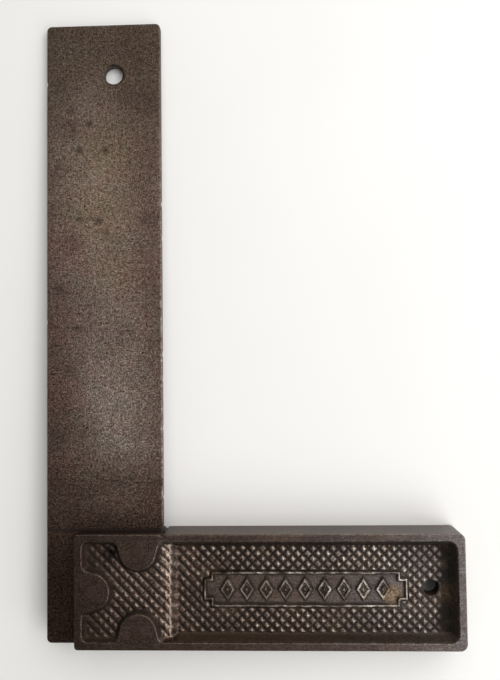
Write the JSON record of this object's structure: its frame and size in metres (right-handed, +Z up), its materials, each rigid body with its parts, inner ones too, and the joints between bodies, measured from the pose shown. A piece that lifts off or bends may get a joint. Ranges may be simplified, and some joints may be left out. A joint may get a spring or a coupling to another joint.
{
  "type": "try square",
  "caption": "All-metal fixed try square: a flat steel blade riveted into the slotted end of a cast-iron stock with a knurled, pocketed grip.",
  "frame": {"origin": "centre of the bounding box's base, with the square lying flat on the stock's lower face", "axes": "+X along the stock towards its free end, +Y along the blade towards its tip, +Z up through the thickness"},
  "size_m": [0.1214, 0.1852, 0.0127],
  "materials": {
    "cast_iron": "dark brown patina, worn brighter on the rims and the knurl",
    "blade_steel": "aged grey-brown patina with fine dark pits",
    "rivet_steel": "ground flush, aged"
  },
  "bodies": {
    "root": {"stock": "cast_iron", "blade": "blade_steel", "rivet_inner": "rivet_steel", "rivet_end": "rivet_steel", "rivet_outer": "rivet_steel"}
  },
  "joints": []
}
